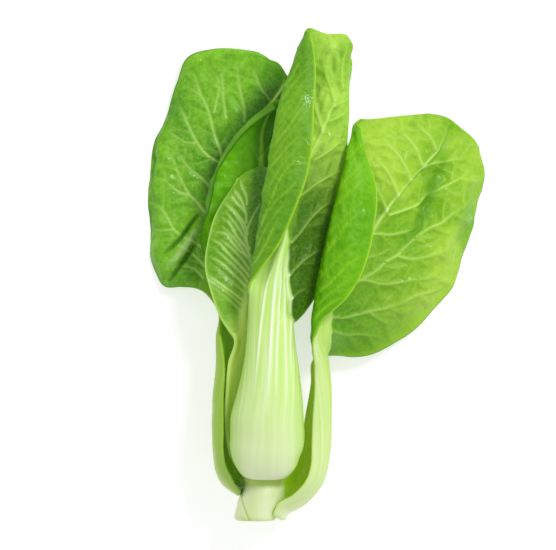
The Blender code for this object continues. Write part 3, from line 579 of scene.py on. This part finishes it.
def stalk_rows(stations, across, facing):
    """Rows of points over the outer face of a bowl shaped stalk."""
    table = np.asarray(stations, float)
    spots = table[:, :3]
    growth = unit(np.gradient(spots, axis=0))
    right = unit(np.cross(growth, (0.0, 0.0, 1.0)))
    upward = np.cross(right, growth)
    angle = np.radians(table[:, 3:4])
    outward = np.cos(angle) * right + np.sin(angle) * upward
    sideways = facing * (np.cos(angle) * upward - np.sin(angle) * right)
    reach = np.sin(across * STALK_WRAP) / np.sin(STALK_WRAP)
    drop = (1 - np.cos(across * STALK_WRAP)) / (1 - np.cos(STALK_WRAP))
    rows = spots[:, None] + sideways[:, None] * (table[:, 4:5] * reach)[..., None]
    return rows - outward[:, None] * (table[:, 5:6] * drop)[..., None]


def noise_field(points, size, seed):
    """Smooth noise from -1 to 1 over a grid of points, with features of the given size."""
    flat = points.reshape(-1, 3) / size + seed
    values = [noise.noise(Vector(point)) for point in flat]
    return np.array(values).reshape(points.shape[:-1])


def tree_of(spots):
    tree = kdtree.KDTree(len(spots))
    for index, spot in enumerate(spots):
        tree.insert(spot, index)
    tree.balance()
    return tree


def nearest(spots, points):
    """Index of the spot nearest to each point, and its distance."""
    tree = tree_of(spots)
    near = [tree.find(point)[1:] for point in points]
    return np.array([item[0] for item in near]), np.array([item[1] for item in near])


def samples_within(columns, rows, column_place, row_place):
    """Samples of a leaf between limits along its control columns and rows."""
    across = (column_place >= columns[0]) & (column_place <= columns[1])
    along = (row_place >= rows[0]) & (row_place <= rows[1])
    return across[None, :] & along[:, None]


def lay_on(points, grid, allowed):
    """A line seen from above, laid on the allowed part of a leaf."""
    line = np.reshape(points, (-1, 2)).astype(float)
    spots = grid[allowed]
    tree = tree_of(spots * (1.0, 1.0, 0.0))
    found = []
    for x, y in spline(line, sample_steps(line[:, None], LINE_SAMPLE)):
        close = tree.find_n((x, y, 0.0), LINE_NEIGHBOURS)
        weights = np.array([1 / (item[2] + NEAR_LIMIT) for item in close])
        found.append(weights @ spots[[item[1] for item in close]] / weights.sum())
    extra = LINE_SMOOTHING // 2
    padded = np.array(found[:1] * extra + found + found[-1:] * extra)
    kernel = np.ones(LINE_SMOOTHING) / LINE_SMOOTHING
    return np.stack([np.convolve(padded[:, axis], kernel, "valid") for axis in range(3)], axis=1)


def branch_lines(points, width, generator):
    """Short side veins, alternating along a line seen from above."""
    line = np.reshape(points, (-1, 2)).astype(float)
    path = spline(line, sample_steps(line[:, None], TWIG_STEP))
    made = []
    side = 1
    position = 3 + generator.integers(0, 3)
    while position < len(path) - 2:
        ahead = unit(path[position + 1] - path[position - 1])
        turn = np.radians(generator.uniform(*TWIG_ANGLE)) * side
        length = generator.uniform(*TWIG_LENGTH)
        heading = np.array([ahead[0] * np.cos(turn) - ahead[1] * np.sin(turn),
                            ahead[0] * np.sin(turn) + ahead[1] * np.cos(turn)])
        middle = path[position] + heading * length * 0.5
        end = path[position] + heading * length + ahead * length * 0.25
        made.append(((path[position], middle, end), width * 0.5))
        side = -side
        position += int(generator.integers(*TWIG_GAP))
    return made


def vein_fields(name, grid, row_place, column_place):
    """Strength of the veins on each face, and how far each sample lies from one."""
    shape = grid.shape[:2]
    generator = np.random.default_rng(sum(map(ord, name)))
    fields = {"outer": np.zeros(shape), "inner": np.zeros(shape), "far": np.full(shape, NO_VEIN)}
    for leaf, face, columns, rows, veins in VEINS:
        if leaf != name:
            continue
        allowed = samples_within(columns, rows, column_place, row_place)
        from_stalk = rows[0] <= STALK_VEIN_ROW
        lines = [(line, width, 1.0) for width, *line in veins]
        if name in TWIGGED and not from_stalk:
            for width, *line in veins:
                lines += [(twig, thin, TWIG_STRENGTH) for twig, thin in branch_lines(line, width, generator)]
        spots, widths, strengths = [], [], []
        for line, width, strength in lines:
            spots.append(lay_on(line, grid, allowed))
            part = np.linspace(0, 1, len(spots[-1]))
            ends = np.minimum(1, (1 - part) * 4)
            if from_stalk:
                ends = ends * np.minimum(1, part * 2.5)
            widths.append(width * (1 - 0.5 * part))
            strengths.append(strength * ends)
        index, distance = nearest(np.concatenate(spots), grid[allowed])
        width = np.concatenate(widths)[index]
        spread = np.maximum(VEIN_SPREAD * width, THINNEST[name])
        thin = np.minimum(1, VEIN_STRENGTH * width / THINNEST[name])
        height = np.concatenate(strengths)[index] * thin * np.exp(-(distance / spread) ** 2)
        for side in ("outer", "inner"):
            share = 1.0 if side == face else VEIN_BEHIND
            fields[side][allowed] = np.maximum(fields[side][allowed], height * share)
        if not from_stalk:
            fields["far"][allowed] = np.minimum(fields["far"][allowed], distance)
    return fields


def fold_field(name, grid, row_place, column_place):
    """Depth by which folds press each sample down, less than nothing where they raise it."""
    depth = np.zeros(grid.shape[:2])
    if name not in FOLDS:
        return depth
    columns, rows, folds = FOLDS[name]
    allowed = samples_within(columns, rows, column_place, row_place)
    for width, down, *line in folds:
        laid = lay_on(line, grid, allowed)
        index, distance = nearest(laid, grid[allowed])
        fade = np.sin(np.pi * np.clip(index / (len(laid) - 1) * 0.9 + 0.05, 0, 1)) ** 0.5
        depth[allowed] += down * fade * np.exp(-(distance / width) ** 2)
    return depth


def leaf_faces(name, stalk, blade, midrib, facing):
    """Outer and inner face of a leaf as fine grids, with the values its material uses."""
    blade = np.reshape(blade, (len(blade), -1, 3)).astype(float)
    across = np.concatenate([np.linspace(1, 0, midrib + 1), np.linspace(0, -1, blade.shape[1] - midrib)[1:]])
    rows = np.concatenate([stalk_rows(stalk, across, facing), blade])
    sizes = np.full(len(rows) - 1, BLADE_SAMPLE[name])
    sizes[:len(stalk) - 1] = STALK_SAMPLE
    row_steps = sample_steps(rows, sizes)
    column_steps = sample_steps(rows.swapaxes(0, 1), BLADE_SAMPLE[name])
    row_place = places(row_steps)
    column_place = places(column_steps)
    grid = spline(rows, row_steps)
    grid = spline(grid.swapaxes(0, 1), column_steps).swapaxes(0, 1)
    across = ramp(across, column_place)[None, :]

    # Thickness and rib
    blade_share = np.linspace(0, 1, len(blade) + 1)[1:]
    blade_part = ramp(np.concatenate([np.zeros(len(stalk)), blade_share]), row_place)[:, None]
    settled = smooth_step(0, SETTLED, blade_part)
    stalk_thick = np.array([station[6] for station in stalk])
    blade_thick = TIP_RIB + (stalk_thick[-1] - TIP_RIB) * (1 - blade_share) ** RIB_TAPER
    thick = ramp(np.concatenate([stalk_thick, blade_thick]), row_place)[:, None]
    edge = STALK_EDGE + (BLADE_EDGE - STALK_EDGE) * settled
    over_step = np.linalg.norm(np.diff(grid, axis=1), axis=-1)
    measured = np.concatenate([np.zeros((len(grid), 1)), np.cumsum(over_step, axis=1)], axis=1)
    middle = int(np.argmin(np.abs(column_place - midrib)))
    sideways = measured - measured[:, middle:middle + 1]
    margin = np.minimum(measured, measured[:, -1:] - measured)
    neck = stalk[-1][4]
    rib_width = TIP_WIDTH[name] + (neck - TIP_WIDTH[name]) * (1 - blade_part) ** RIB_NARROWING[name]
    rib_left = 1 - smooth_step(*RIB_END[name], blade_part)
    rib_shape = rib_left * np.exp(-(np.abs(sideways) / rib_width) ** (2 + 2 * (1 - settled)))
    rib_profile = (1 - settled) * (1 - across ** 2) + settled * rib_shape
    rib = np.maximum(thick - edge, 0) * rib_profile
    outside = RIB_OUTSIDE * settled * rib

    # Relief
    veins = vein_fields(name, grid, row_place, column_place)
    folds = fold_field(name, grid, row_place, column_place)
    along = np.gradient(grid, axis=0)
    inward = facing * unit(np.cross(along, np.gradient(grid, axis=1)))
    length = np.cumsum(np.linalg.norm(along, axis=-1), axis=0)
    ripple = RIPPLE_HEIGHT * settled * np.abs(across) ** 3 * np.sin(length * 2 * np.pi / RIPPLE_LENGTH)
    within = smooth_step(0, SWELL_REACH, margin)
    quilt = QUILT[name] * settled * (1 - np.exp(-(veins["far"] / QUILT_REACH) ** 2)) * within
    swell = settled * within * sum(height * noise_field(grid, size, seed) for height, size, seed in SWELLS)
    height, size, seed = RUFFLE
    ruffle = height * settled * np.exp(-margin / RUFFLE_REACH) * noise_field(grid, size, seed)
    grid = grid + inward * (ripple + quilt + swell + ruffle)[..., None]
    grid[..., 2] -= folds * settled
    outer = grid - inward * (outside + VEIN_RELIEF["outer"] * veins["outer"])[..., None]
    inner_relief = VEIN_RELIEF["inner"] * veins["inner"] * settled
    inner = grid + inward * (edge + rib - outside - inner_relief)[..., None]
    lift = np.maximum(-np.minimum(outer[..., 2], inner[..., 2]), 0)
    outer[..., 2] += lift
    inner[..., 2] += lift

    # Values for the material
    rib_colour = rib_left * np.exp(-(np.abs(sideways) / (rib_width * 0.95)) ** 3)
    pale = (1 - settled) + settled * rib_colour
    pale_outer = pale
    if name in PALE_LIMITS:
        limits = np.array(PALE_LIMITS[name])
        first_row, last_row = limits[0, 0], limits[-1, 0]
        low, high = (np.interp(row_place, limits[:, 0], limits[:, side])[:, None] for side in (1, 2))
        pale_outer = smooth_step(low - PALE_BLUR, low + PALE_BLUR, column_place) * (
            1 - smooth_step(high - PALE_BLUR, high + PALE_BLUR, column_place))
        pale_outer = np.where(row_place[:, None] < first_row, 1.0, pale_outer)
        pale_outer = np.where(row_place[:, None] > last_row, rib_colour, pale_outer)
        pale = np.where(row_place[:, None] > first_row, rib_colour, 1.0)
    # Painted shade: the window of the leaf that the material darkens where shade falls
    shade_face, shade_columns, shade_rows = PAINTED_SHADE[name]
    painted_shade = window(column_place, shade_columns)[None, :] * window(row_place, shade_rows)[:, None]
    values = {
        "pale": (pale_outer, pale),
        "vein": (veins["outer"], veins["inner"]),
        "under": (np.ones_like(pale), np.zeros_like(pale)),
        "painted_shade": (painted_shade * (shade_face == "outer"), painted_shade * (shade_face == "inner")),
    }
    alike = {
        # Line along the margin, which the material paints as a highlight on some leaves and as shade on
        # others
        "hem": np.exp(-(margin / HEM_WIDTH) ** 2) * settled,
        "margin": np.exp(-margin / MARGIN_WIDTH),
        # Depth of the folds; the material also paints shade into their creases and a highlight on raised
        # folds
        "fold": folds,
        "growth": length / length[-1:],
        "blade": settled,
        "thin": smooth_step(*THINNING[name], blade_part) * rib_colour,
        "brim": np.abs(across),
        "side": sideways * MM,
        "reach": length * MM,
    }
    for key, value in alike.items():
        values[key] = (np.broadcast_to(value, pale.shape),) * 2
    return outer, inner, values


def add_object(name, data):
    made = bpy.data.objects.new(name, data)
    bpy.context.scene.collection.objects.link(made)
    return made


def add_mesh(name, points, faces, values):
    mesh = bpy.data.meshes.new(name)
    mesh.vertices.add(len(points))
    mesh.vertices.foreach_set("co", np.asarray(points, np.float32).ravel())
    faces = np.asarray(faces, np.int32)
    mesh.loops.add(faces.size)
    mesh.loops.foreach_set("vertex_index", faces.ravel())
    mesh.polygons.add(len(faces))
    mesh.polygons.foreach_set("loop_start", np.arange(0, faces.size, 3, dtype=np.int32))
    mesh.update(calc_edges=True)
    mesh.validate()
    mesh.shade_smooth()
    for key, array in values.items():
        layer = mesh.attributes.new(key, "FLOAT", "POINT")
        layer.data.foreach_set("value", np.asarray(array, np.float32).ravel())
    return add_object(name, mesh)


def quads(first, second, third, fourth):
    """Two triangles for each face with four corners."""
    return [np.stack([first, second, third], 1), np.stack([first, third, fourth], 1)]


def shell_faces(rows, columns, flip):
    """Triangles of both faces, alike, and a rounded rim with one middle line."""
    count = rows * columns
    index = np.arange(count).reshape(rows, columns)
    near, right = index[:-1, :-1].ravel(), index[:-1, 1:].ravel()
    far, corner = index[1:, :-1].ravel(), index[1:, 1:].ravel()
    outer = np.concatenate(quads(near, far, corner, right))
    inner = outer[:, [0, 2, 1]] + count
    rim = np.concatenate([index[0, :], index[1:, -1], index[-1, -2::-1], index[-2:0:-1, 0]])
    line = 2 * count + np.arange(len(rim))
    following = np.roll(rim, -1)
    line_following = np.roll(line, -1)
    strips = quads(rim, following, line_following, line)
    strips += quads(line, line_following, following + count, rim + count)
    faces = np.concatenate([outer, inner] + strips)
    if flip:
        faces = faces[:, [0, 2, 1]]
    return faces, rim


def add_leaf(name, stalk, blade, midrib, facing):
    outer, inner, values = leaf_faces(name, stalk, blade, midrib, facing)
    rows, columns = outer.shape[:2]
    faces, rim = shell_faces(rows, columns, flip=facing < 0)
    outer = outer.reshape(-1, 3)
    inner = inner.reshape(-1, 3)
    step_in = np.clip(np.stack(np.unravel_index(rim, (rows, columns)), 1), 1, (rows - 2, columns - 2))
    step_in = step_in[:, 0] * columns + step_in[:, 1]
    middle = (outer[rim] + inner[rim]) / 2
    thickness = np.linalg.norm(outer[rim] - inner[rim], axis=1, keepdims=True)
    away = unit(middle - (outer[step_in] + inner[step_in]) / 2)
    line = middle + away * thickness * RIM_BULGE
    line[:, 2] = np.maximum(line[:, 2], RIM_FLOOR)
    points = np.concatenate([outer, inner, line]) * MM
    merged = {}
    for key, (first, second) in values.items():
        first, second = np.ravel(first), np.ravel(second)
        merged[key] = np.concatenate([first, second, (first[rim] + second[rim]) / 2])
    piece = add_mesh("visual_" + name, points, faces, merged)
    piece.data.materials.append(leaf_material(name))
    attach(piece, "root")
    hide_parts(name)


# Materials
def node(tree, kind, inputs=None, **settings):
    made = tree.nodes.new("ShaderNode" + kind)
    for key, value in settings.items():
        setattr(made, key, value)
    for key, value in (inputs or {}).items():
        if isinstance(value, bpy.types.NodeSocket):
            tree.links.new(value, made.inputs[key])
        else:
            made.inputs[key].default_value = value
    return made


def mix(tree, factor, first, second):
    first, second = ((*side, 1.0) if isinstance(side, tuple) else side for side in (first, second))
    return node(tree, "Mix", {0: factor, 6: first, 7: second}, data_type="RGBA").outputs[2]


def maths(tree, operation, first, second, third=None):
    inputs = {0: first, 1: second}
    if third is not None:
        inputs[2] = third
    return node(tree, "Math", inputs, operation=operation).outputs[0]


def times(tree, first, second):
    return maths(tree, "MULTIPLY", first, second)


def value_of(tree, key):
    return node(tree, "Attribute", attribute_name=key).outputs["Fac"]


def between(tree, value, low, high, to_low=0.0, to_high=1.0):
    inputs = {"Value": value, "From Min": low, "From Max": high, "To Min": to_low, "To Max": to_high}
    return node(tree, "MapRange", inputs, interpolation_type="SMOOTHSTEP").outputs["Result"]


def noise_of(tree, vector, scale, detail=3.0, roughness=0.5):
    inputs = {"Vector": vector, "Scale": scale, "Detail": detail, "Roughness": roughness}
    return node(tree, "TexNoise", inputs).outputs["Fac"]


def layered(tree, colour, layers):
    """A colour with further ones laid over it, each where its factor says."""
    for factor, layer in layers:
        colour = mix(tree, factor, colour, layer)
    return colour


def new_material(name):
    """A new material, its node tree, its shader and its object coordinates."""
    material = bpy.data.materials.new(name)
    material.use_nodes = True
    tree = material.node_tree
    return material, tree, tree.nodes["Principled BSDF"], node(tree, "TexCoord").outputs["Object"]


def link_surface(tree, shader, colour, roughness, relief, strength):
    bump = node(tree, "Bump", {"Height": relief, "Strength": strength, "Distance": BUMP_DEPTH})
    tree.links.new(colour, shader.inputs["Base Color"])
    tree.links.new(roughness, shader.inputs["Roughness"])
    tree.links.new(bump.outputs["Normal"], shader.inputs["Normal"])


def leaf_material(name):
    inner_deep, inner_light, outer_deep, outer_light = GREENS[name]
    stalk_colours, stalk_edge, stalk_inner, streak_colour = STALKS[name]
    inner_vein, outer_vein, mottle_and_shade = VEIN_COLOURS[name]
    material, tree, shader, place = new_material("material_" + name)
    pale = value_of(tree, "pale")
    vein = value_of(tree, "vein")
    under = value_of(tree, "under")
    painted_shade = value_of(tree, "painted_shade")
    growth = value_of(tree, "growth")
    vein_colour = mix(tree, under, inner_vein, outer_vein)

    # Blade: patches, mottling, painted shade, cells, veins, margin, a painted highlight and painted shade
    # along its edge, and painted shade in folds with a painted highlight on raised ones
    patches = between(tree, noise_of(tree, place, PATCHES, 2.0), 0.34, 0.66)
    inner_face = mix(tree, patches, inner_deep, inner_light)
    outer_face = mix(tree, patches, outer_deep, outer_light)
    mottle = noise_of(tree, place, MOTTLING, 3.0, 0.6)
    fine = noise_of(tree, place, GRAIN, 4.0, 0.62)
    cells = node(tree, "TexVoronoi", {"Vector": place, "Scale": CELLS}, feature="DISTANCE_TO_EDGE")
    web = between(tree, cells.outputs["Distance"], 0.0, 0.14, 1.0, 0.0)
    fold = value_of(tree, "fold")
    face = layered(tree, mix(tree, under, inner_face, outer_face), (
        (between(tree, mottle, 0.50, 0.74, 0.0, 0.12), vein_colour),
        (between(tree, mottle, 0.26, 0.50, 0.24, 0.0), mottle_and_shade),
        (between(tree, fine, 0.50, 0.72, 0.0, 0.16), vein_colour),
        (between(tree, fine, 0.28, 0.48, 0.25, 0.0), mottle_and_shade),
        # Painted shade over its window, with the veins fading in it
        (times(tree, painted_shade, 0.88), mottle_and_shade),
        (times(tree, web, 0.10), vein_colour),
        (times(tree, vein, maths(tree, "MULTIPLY_ADD", painted_shade, -0.45, 0.88)), vein_colour),
        (times(tree, value_of(tree, "margin"), 0.15), inner_vein),
        # Painted highlight and painted shade along the margin
        (times(tree, value_of(tree, "hem"), 0.80), mix(tree, under, *EDGE_HIGHLIGHT_AND_SHADE[name])),
        # Painted shade in the folds' creases
        (between(tree, fold, 0.0, 2.0, 0.0, 0.9), mottle_and_shade),
        # Painted highlight on raised folds
        (between(tree, fold, -1.6, -0.4, 0.45, 0.0), RIDGE_HIGHLIGHT),
    ))

    # Stalk: colours along it, paler or darker edge, streaks and its hollow inner face
    ramp_node = node(tree, "ValToRGB", {"Fac": growth})
    elements = ramp_node.color_ramp.elements
    for element, stop in ((elements[0], 0), (elements[1], 3)):
        element.position = STALK_STOPS[stop]
        element.color = (*stalk_colours[stop], 1.0)
    for stop in (1, 2):
        elements.new(STALK_STOPS[stop]).color = (*stalk_colours[stop], 1.0)
    lengthwise = node(tree, "CombineXYZ", {"X": times(tree, value_of(tree, "side"), STREAK_ACROSS),
                                           "Y": times(tree, value_of(tree, "reach"), STREAK_ALONG)})
    streak = noise_of(tree, lengthwise.outputs[0], 1.0)
    streaked = between(tree, growth, 0.05, 0.30, 0.35, 1.0)
    brim = between(tree, value_of(tree, "brim"), 0.35, 0.95, 0.0, 0.8)
    stalk = layered(tree, ramp_node.outputs["Color"], (
        (brim, stalk_edge),
        (times(tree, between(tree, streak, 0.44, 0.74, 0.0, 0.50), streaked), streak_colour),
        # Painted shade in the grooves between the stalk's streaks
        (times(tree, between(tree, streak, 0.26, 0.50, 0.36, 0.0), streaked), STREAK_SHADE),
        (times(tree, vein, 0.80), STALK_VEIN),
    ))
    hollow = mix(tree, between(tree, streak, 0.40, 0.66, 0.0, 0.2), stalk_inner, stalk_edge)
    stalk = mix(tree, under, hollow, stalk)
    stalk = mix(tree, times(tree, value_of(tree, "thin"), 0.85), stalk, vein_colour)

    wet = between(tree, noise_of(tree, place, SPOTS, 2.0), WETNESS[name], WETNESS[name] + 0.10)
    roughness = maths(tree, "MULTIPLY_ADD", wet, -0.30, 0.45)
    roughness = maths(tree, "ADD", roughness, between(tree, fine, 0.2, 0.8, -0.05, 0.05))
    shader.inputs["Specular IOR Level"].default_value = 0.16
    grain = maths(tree, "MULTIPLY_ADD", mottle, 0.6, times(tree, fine, 0.35))
    web_relief = times(tree, times(tree, web, value_of(tree, "blade")), 0.22)
    streak_relief = times(tree, times(tree, streak, pale), 0.9)
    relief = maths(tree, "ADD", maths(tree, "ADD", grain, streak_relief), web_relief)
    link_surface(tree, shader, mix(tree, pale, face, stalk), roughness, relief, 0.35)
    return material


def butt_material():
    material, tree, shader, place = new_material("material_butt")
    patches = between(tree, noise_of(tree, place, SPOTS), 0.35, 0.68)
    fibres = noise_of(tree, place, FIBRES, 3.0, 0.7)
    colour = mix(tree, value_of(tree, "cut"), mix(tree, patches, *BUTT_SKIN), mix(tree, fibres, *CUT_FACE))
    colour = mix(tree, times(tree, value_of(tree, "seam"), 0.8), colour, SEAM_COLOUR)
    link_surface(tree, shader, colour, between(tree, fibres, 0.2, 0.8, 0.38, 0.60), fibres, 0.3)
    return material


def add_butt():
    """Short cut stem with the seams of the outer leaf bases and a ringed cut face."""
    rings = np.asarray(BUTT_RINGS, float)
    rings = spline(rings, sample_steps(rings[:, None, :], BUTT_SAMPLE))
    turn = np.linspace(0, 2 * np.pi, BUTT_SIDES, endpoint=False)
    points, seams = [], []
    for y, centre_x, half_width, half_height in rings:
        angles = SEAM_ANGLES + SEAM_TURNS * (y - rings[0, 0])
        away = np.abs((turn[:, None] - angles + np.pi) % (2 * np.pi) - np.pi).min(axis=1)
        groove = np.exp(-(away * half_width / SEAM_WIDTH) ** 2)
        bulge = 1 - SEAM_DEPTH * groove / half_width
        points.append(np.stack([centre_x + half_width * bulge * np.cos(turn), np.full(BUTT_SIDES, y),
                                BUTT_CENTRE_Z + half_height * bulge * np.sin(turn)], axis=1))
        crease = max(smooth_step(*TOP_CREASE, y), RIM_CREASE_STRENGTH * smooth_step(*RIM_CREASE, y))
        seams.append(np.maximum(groove, crease))
    centre = np.array([BUTT_RINGS[0][1], BUTT_RINGS[0][0], BUTT_CENTRE_Z])
    cut = []
    for share in CUT_RINGS:
        ring = centre + (points[0] - centre) * share
        ring[:, 1] += CUT_HOLLOW * (1 - share ** 2) + CUT_RIPPLE * np.sin(share * CUT_RIPPLE_PACE)
        cut.append(ring)
    points = np.concatenate(cut[::-1] + points)

    # Side faces, then a fan at each end round a point in its middle
    count = len(points)
    index = np.arange(count).reshape(-1, BUTT_SIDES)
    beside = np.roll(index, -1, axis=1)
    faces = quads(index[:-1].ravel(), index[1:].ravel(), beside[1:].ravel(), beside[:-1].ravel())
    faces += [np.stack([np.full(BUTT_SIDES, count), index[0], beside[0]], 1),
              np.stack([np.full(BUTT_SIDES, count + 1), beside[-1], index[-1]], 1)]
    middles = [points[:BUTT_SIDES].mean(axis=0), points[-BUTT_SIDES:].mean(axis=0)]
    points = np.concatenate([points, middles])
    on_cut = len(cut) * BUTT_SIDES
    values = {
        "seam": np.concatenate([np.zeros(on_cut)] + seams + [np.zeros(2)]),
        "cut": np.concatenate([np.ones(on_cut), np.zeros(count - on_cut), [1.0, 0.0]]),
    }
    piece = add_mesh("visual_butt", points * MM, np.concatenate(faces), values)
    piece.data.materials.append(butt_material())
    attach(piece, "root")
    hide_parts("butt")


# Camera, floor and light
def add_camera():
    data = bpy.data.cameras.new("camera")
    data.sensor_width = 36.0
    data.lens = 248.7
    data.clip_end = 20.0
    camera = add_object("camera", data)
    camera.location = (-0.0156, 0.0, 1.6)
    bpy.context.scene.camera = camera


def add_floor():
    mesh = bpy.data.meshes.new("floor")
    mesh.from_pydata([(-3, -3, 0), (3, -3, 0), (3, 3, 0), (-3, 3, 0)], [], [(0, 1, 2, 3)])
    floor = add_object("floor", mesh)
    material, tree, shader, place = new_material("floor")
    tone = mix(tree, noise_of(tree, place, 6.0, 2.0), (0.60, 0.60, 0.59), (0.62, 0.62, 0.61))
    tree.links.new(tone, shader.inputs["Base Color"])
    shader.inputs["Roughness"].default_value = 0.9
    shader.inputs["Specular IOR Level"].default_value = 0.1
    shader.inputs["Emission Color"].default_value = (1.0, 1.0, 1.0, 1.0)
    shader.inputs["Emission Strength"].default_value = 0.55
    mesh.materials.append(material)


def add_lights():
    world = bpy.data.worlds.new("world")
    world.use_nodes = True
    background = world.node_tree.nodes["Background"]
    background.inputs["Color"].default_value = (0.97, 0.985, 1.0, 1.0)
    background.inputs["Strength"].default_value = 0.74
    bpy.context.scene.world = world
    data = bpy.data.lights.new("key", "AREA")
    data.shape = "DISK"
    data.size = 0.32
    data.energy = 7.2
    data.color = (1.0, 0.985, 0.95)
    light = add_object("key", data)
    light.location = (0.50, 0.55, 0.95)
    light.rotation_euler = (-light.location).to_track_quat("-Z", "Y").to_euler()
    bpy.context.scene.view_settings.view_transform = "Standard"


add_camera()
add_floor()
add_lights()
add_butt()
add_leaf("leaf_front", FRONT_STALK, FRONT_BLADE, midrib=4, facing=1)
add_leaf("leaf_right", RIGHT_STALK, RIGHT_BLADE, midrib=4, facing=1)
add_leaf("leaf_left", LEFT_STALK, LEFT_BLADE, midrib=3, facing=-1)
add_leaf("leaf_back", BACK_STALK, BACK_BLADE, midrib=3, facing=-1)
add_leaf("leaf_inner", INNER_STALK, INNER_BLADE, midrib=2, facing=-1)
